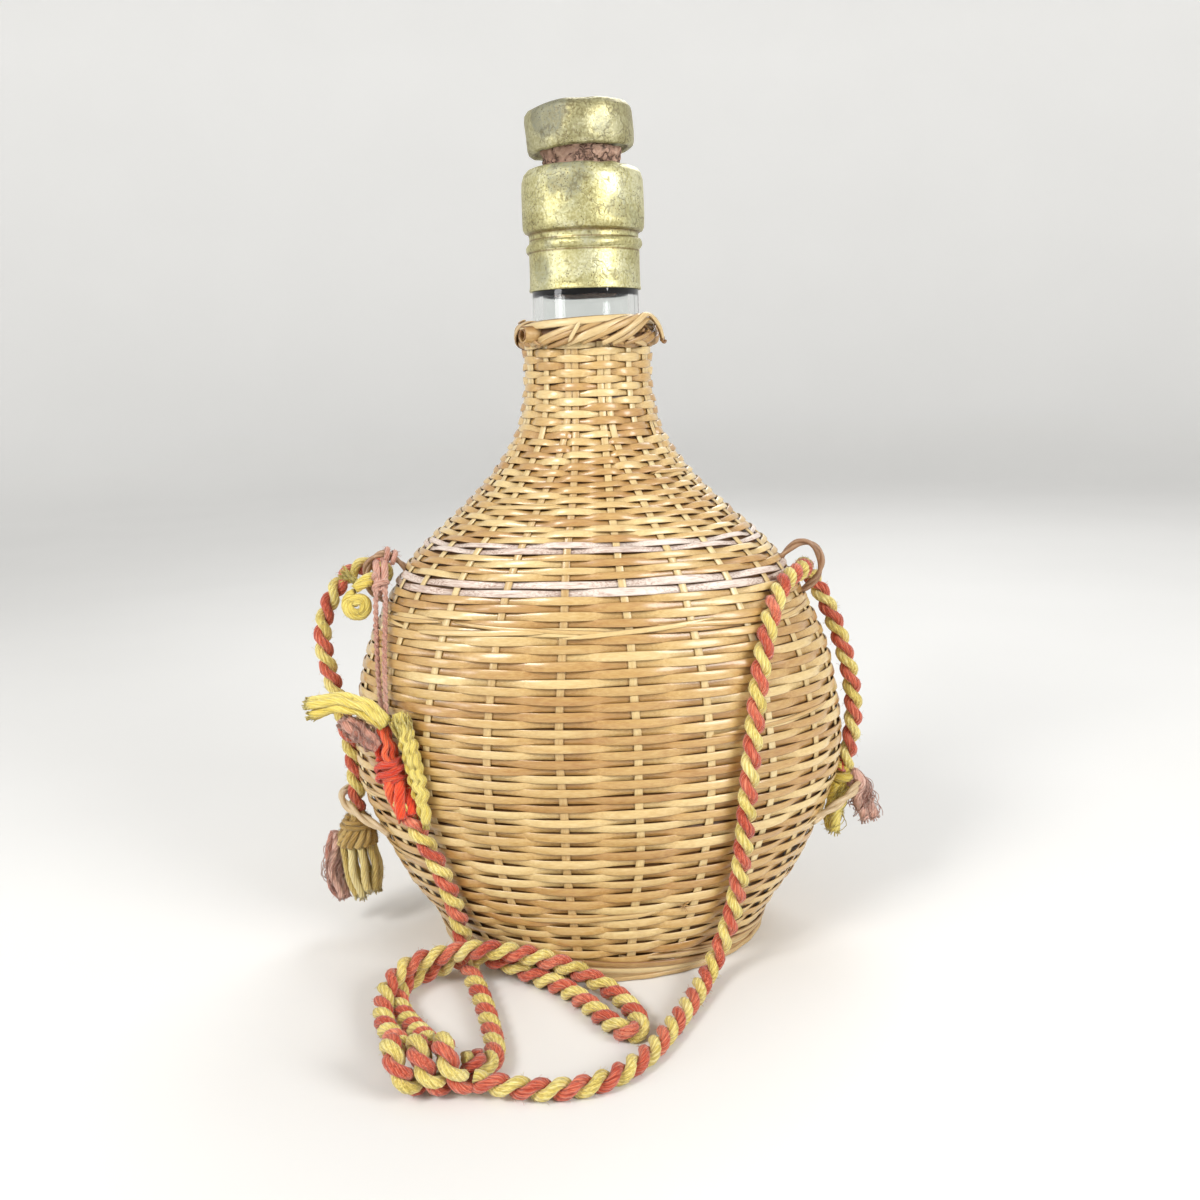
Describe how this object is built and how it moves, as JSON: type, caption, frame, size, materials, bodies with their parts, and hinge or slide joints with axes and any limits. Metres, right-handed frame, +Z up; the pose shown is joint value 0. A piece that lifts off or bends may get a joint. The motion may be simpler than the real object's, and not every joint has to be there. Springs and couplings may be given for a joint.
{
  "type": "wicker-covered flask",
  "caption": "Flattened oval glass flask in a woven wicker cover, with a gilt neck capsule, a capped cork, twig carrying loops and a knotted, twisted carrying strap with tassels.",
  "frame": {"origin": "on the ground under the middle of the foot", "axes": "+Z up along the neck, +X across the broad face, the side with the knotted strap towards -Y"},
  "size_m": [0.1715, 0.1477, 0.2404],
  "materials": {
    "glass": "clear, glossy, slightly grey",
    "cork": "matt, crumbly",
    "gilt_cap": "dull gold, tarnished and scratched",
    "gilt_capsule": "dull gold, tarnished and scratched",
    "wicker": "split cane with a soft gloss",
    "bark": "unpeeled, pinkish grey",
    "twig": "matt, weathered",
    "strap": "twisted yarn in yellow and brick red",
    "red_yarn": "loose yarn",
    "yellow_yarn": "loose yarn",
    "rosy_yarn": "loose faded yarn"
  },
  "bodies": {
    "flask": {"glass_flask": "glass", "neck_capsule": "gilt_capsule", "wicker_lower_wall": "wicker", "wicker_belly_wall": "wicker", "wicker_band_between": "wicker", "wicker_shoulder_wall": "wicker", "wicker_neck_wall": "wicker", "wicker_stakes": "wicker", "wicker_foot_border": "wicker", "wicker_base_mat": "wicker", "neck_border": "wicker", "neck_border_roll": "wicker", "neck_border_bulge": "wicker", "bark_band_lower": "bark", "bark_band_upper": "bark", "ring_upper_right": "twig", "ring_upper_left": "twig", "loop_lower_right": "twig", "loop_lower_left": "twig", "string_left_outer": "rosy_yarn", "string_left_inner": "rosy_yarn", "tuft_left_pink": "rosy_yarn", "tassel_left_pink": "rosy_yarn", "tassel_right_pink": "rosy_yarn", "knot_left_red": "red_yarn", "tuft_left_gold": "yellow_yarn", "tuft_left_yellow": "yellow_yarn", "curl_left": "yellow_yarn", "tassel_left": "yellow_yarn", "knot_right": "yellow_yarn", "tassel_right_yellow": "yellow_yarn", "strap_front": "strap", "strap_right": "strap", "strap_left_front": "strap", "strap_left": "strap", "strap_floor_bight": "strap", "knot_on_ground": "strap"},
    "stopper": {"cork_stopper": "cork", "stopper_cap": "gilt_cap"}
  },
  "joints": [
    {"name": "stopper_lift", "type": "slide", "parent": "flask", "child": "stopper", "axis": [0, 0, 1], "range_m": [0, 0.05]}
  ]
}
